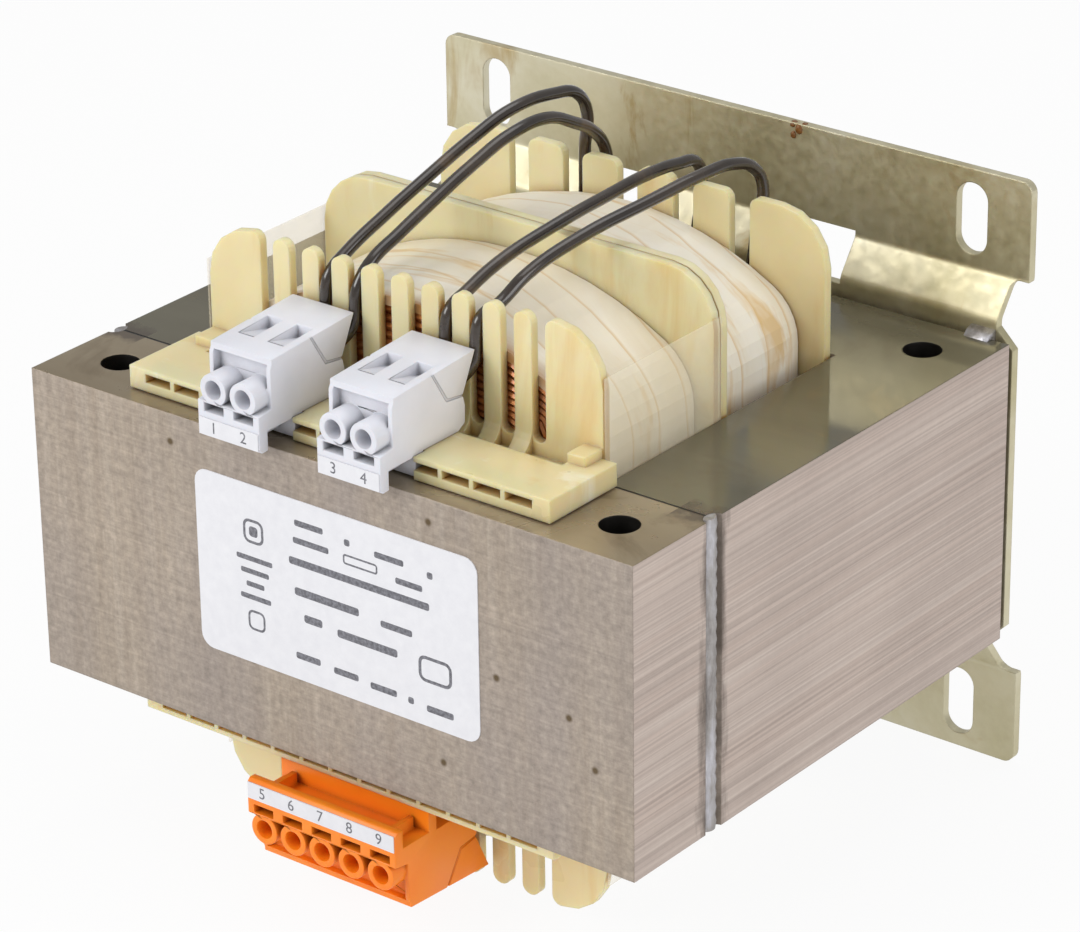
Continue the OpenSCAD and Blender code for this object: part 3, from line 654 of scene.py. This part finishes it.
# each field's centre from the label's, its width, its height and, if hollow, its line, in mm
fields = [
    (-20.5, 9.4, 5.2, 5.2, 0.6), (-20.5, 9.4, 2.2, 2.2, 0), (-20.5, 3.4, 9.2, 1.1, 0),
    (-20.5, 0.6, 7.2, 1.1, 0), (-20.5, -2.2, 4.6, 1.1, 0), (-20.5, -5.0, 7.8, 1.1, 0),
    (-20.5, -10.0, 4.4, 4.4, 0.5),
    (-6.2, 14.6, 7.2, 1.3, 0), (3.4, 14.0, 1.4, 1.4, 0), (13.8, 13.6, 7.2, 1.3, 0),
    (23.8, 13.0, 1.4, 1.4, 0), (-5.8, 10.8, 9.0, 1.3, 0), (6.6, 10.4, 8.6, 2.2, 0.4),
    (18.6, 9.6, 6.6, 1.3, 0), (6.0, 6.2, 35.0, 1.6, 0), (-2.2, -0.2, 16.2, 1.7, 0),
    (15.2, -0.8, 7.8, 1.4, 0), (-5.8, -5.6, 4.6, 1.7, 0), (7.8, -6.2, 15.0, 1.7, 0),
    (24.6, -7.2, 8.2, 5.6, 0.7),
    (-7.4, -14.2, 6.2, 1.4, 0), (2.2, -14.6, 6.2, 1.4, 0), (11.6, -15.0, 6.6, 1.4, 0),
    (18.4, -15.2, 1.4, 1.4, 0), (25.6, -15.6, 6.6, 1.4, 0)]
low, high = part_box("rating_label")
mid_x = (low[0] + high[0]) / 2
mid_z = (low[2] + high[2]) / 2
made = []
for x, z, width, height, line in fields:
    made.append(bar(mid_x + x / 1000, mid_z + z / 1000, width / 1000, height / 1000, low[1] - ink_t / 2,
                    line / 1000))
one_print("label_fields", made)

# the poles are numbered through, from the left block to the lower one
pole_pitch = 0.0075
digit_h = 0.0034
first = 1
for side in ("left", "right", "lower"):
    low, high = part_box("marker_" + side)
    poles = round((high[0] - low[0]) / pole_pitch)
    made = []
    for k in range(poles):
        x = low[0] + (k + 0.5) * pole_pitch
        made.append(number(str(first + k), x, (low[2] + high[2]) / 2, digit_h, low[1] - ink_t / 2))
    one_print("numbers_" + side, made)
    first += poles


# ---- Leads ----
# Sleeved leads, dark with varnish, from the rear coil over both coils to the blocks. Each
# follows the points of its solid in a smooth round run.
def sleeve_material():
    mat, tree, skin = new_material("varnished_sleeve")
    link = tree.links.new
    shade = noise(tree, place(tree, (70, 70, 70)), 1, 5, 0.6)
    fine = noise(tree, place(tree, (900, 900, 900)), 1, 3)
    tone = steps(tree, shade, (0.35, (0.014, 0.009, 0.006)), (0.6, (0.035, 0.022, 0.013)),
                 (0.75, (0.10, 0.06, 0.03)))
    link(tone, skin.inputs["Base Color"])
    link(spread(tree, shade, 0.16, 0.34), skin.inputs["Roughness"])
    link(bump(tree, fine, 0.25, 0.0001), skin.inputs["Normal"])
    skin.inputs["Coat Weight"].default_value = 0.8
    skin.inputs["Coat Roughness"].default_value = 0.08
    return mat


def lead(name, x, slot_x, route):
    """One lead from its pole at x, up through its slot and then along its own route over the coils.

    All points are in mm, counted back from the core's front face and up from its lower face.
    """
    rise = [(x, 15, 76.9), (x, 20.4, 77.1), (x + 0.2 * (slot_x - x), 22.5, 79), (slot_x - 0.2, 24.4, 82.8),
            (slot_x - 0.2, 25.4, 86), (slot_x - 0.2, 25.8, 88.8), (slot_x, 26.8, 91.4)]
    points = [(px / 1000, (py - core_front) / 1000, pz / 1000) for px, py, pz in rise + route]
    data = bpy.data.curves.new(name + "_sleeve", "CURVE")
    data.dimensions = "3D"
    data.bevel_depth = lead_d / 2
    data.bevel_resolution = 4
    data.resolution_u = 6
    data.use_fill_caps = True
    line = data.splines.new("BEZIER")
    line.bezier_points.add(len(points) - 1)
    for spot, point in zip(line.bezier_points, points):
        spot.co = point
        spot.handle_left_type = "AUTO"
        spot.handle_right_type = "AUTO"
    piece = bpy.data.objects.new(name + "_sleeve", data)
    bpy.context.scene.collection.objects.link(piece)
    piece.data.materials.append(varnished_sleeve)
    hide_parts(name)
    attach(piece, "root")


varnished_sleeve = sleeve_material()
lead_d = 0.0026
core_front = 62.5
lead("lead_1", -21.85, -18.75, [
    (-18.4, 31, 94.1), (-17.6, 43, 98.9), (-16.8, 55.5, 103.2), (-16, 67.6, 107.1), (-15.3, 79.7, 109.9),
    (-14.5, 92.1, 109.6), (-14, 99.6, 107.4), (-13.8, 102.4, 102.5), (-13.8, 101.6, 95.8),
    (-13.9, 101.5, 85), (-14, 100.6, 77.5), (-14, 98.9, 74.6), (-14, 97.8, 74.4)])
lead("lead_2", -14.35, -11.25, [
    (-11.1, 29.9, 94.3), (-10.9, 38.8, 97.7), (-10.6, 47.8, 100.9), (-10.2, 60.3, 105), (-9.8, 72.9, 108.1),
    (-9.5, 84, 108), (-9.3, 91.9, 104.7), (-9.1, 98.4, 100.8), (-9, 101.9, 96.5),
    (-8, 102.2, 89), (-5, 102, 81), (-1.3, 101.5, 76.6), (-0.3, 99.4, 74.8), (-0.2, 97.8, 74.6)])
lead("lead_3", 8.15, 11.25, [
    (11.4, 31.4, 93.3), (11.8, 40.9, 96.3), (12.4, 57.3, 98.6), (13.1, 74.2, 99.9), (13.5, 87, 100.4),
    (13.9, 95.8, 99.8), (14.1, 102.4, 98), (14.2, 103.9, 92.6), (14.1, 102.4, 84),
    (14, 101, 77.5), (14, 99, 74.6), (14, 97.8, 74.4)])
lead("lead_4", 15.65, 18.75, [
    (19.3, 32, 92.9), (20.4, 38.7, 96.6), (22.2, 53.5, 100), (24.6, 72.2, 101.9), (26.6, 87.7, 103.2),
    (27.6, 95.6, 103), (28.4, 102, 100.3), (28.8, 104.6, 95.6), (28.5, 103, 88),
    (28.3, 101.9, 80.5), (28, 100.4, 76), (28, 98.9, 74.6), (28, 97.8, 74.4)])
give(nodes["lower_leads"], varnished_sleeve)


# ---- Studio ----
# Not part of the transformer: a pale floor under it, soft lamps above it, white surroundings
# and the camera, which looks down on its front right corner.
def studio():
    scene = bpy.context.scene
    scene.view_settings.view_transform = "Standard"
    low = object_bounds()[0][2]
    bpy.ops.mesh.primitive_plane_add(size=6, location=(0, 0, low - 0.0005))
    floor = bpy.context.object
    floor.name = "floor"
    bpy.ops.object.transform_apply(location=True)
    mat, tree, skin = new_material("floor_white")
    ray = add_node(tree, "ShaderNodeLightPath")
    glow = add_node(tree, "ShaderNodeEmission", {"Color": (1, 1, 1, 1), "Strength": 1.0})
    skin.inputs["Base Color"].default_value = (0.8, 0.8, 0.8, 1)
    skin.inputs["Roughness"].default_value = 0.6
    seen = sums(tree, "MAXIMUM", sums(tree, "MULTIPLY", ray.outputs["Is Camera Ray"], 0.93), 0.62)
    mix = add_node(tree, "ShaderNodeMixShader", {0: seen, 1: skin.outputs[0], 2: glow.outputs[0]})
    tree.links.new(mix.outputs[0], tree.nodes["Material Output"].inputs[0])
    give(floor, mat)

    world = bpy.data.worlds.new("white_room")
    scene.world = world
    world.use_nodes = True
    tree = world.node_tree
    back = tree.nodes["Background"]
    ray = add_node(tree, "ShaderNodeLightPath")
    white = add_node(tree, "ShaderNodeBackground", {"Color": (1, 1, 1, 1), "Strength": 1.0})
    back.inputs["Color"].default_value = (1, 1, 1, 1)
    back.inputs["Strength"].default_value = 0.45
    mix = add_node(tree, "ShaderNodeMixShader", {
        0: ray.outputs["Is Camera Ray"], 1: back.outputs[0], 2: white.outputs[0]})
    tree.links.new(mix.outputs[0], tree.nodes["World Output"].inputs[0])

    def lamp(name, at, aim, size, power):
        data = bpy.data.lights.new(name, "AREA")
        data.shape = "SQUARE"
        data.size = size
        data.energy = power
        obj = bpy.data.objects.new(name, data)
        scene.collection.objects.link(obj)
        obj.location = at
        obj.rotation_euler = (Vector(aim) - Vector(at)).to_track_quat("-Z", "Y").to_euler()

    lamp("key", (-0.5, -0.95, 0.7), (0, 0, 0.04), 0.7, 8.5)
    lamp("side", (1.0, -0.1, 0.45), (0, 0, 0.04), 0.7, 4)
    lamp("top", (0.0, 0.3, 1.1), (0, 0, 0.04), 0.8, 3)

    data = bpy.data.cameras.new("camera")
    data.sensor_width = 36
    data.lens = 156.74
    data.clip_start = 0.05
    camera = bpy.data.objects.new("camera", data)
    scene.collection.objects.link(camera)
    camera.location = (0.53666, -0.67163, 0.44312)
    camera.rotation_euler = Euler([math.radians(angle) for angle in (64.9707, 0.71995, 38.0658)], "XYZ")
    scene.camera = camera


studio()
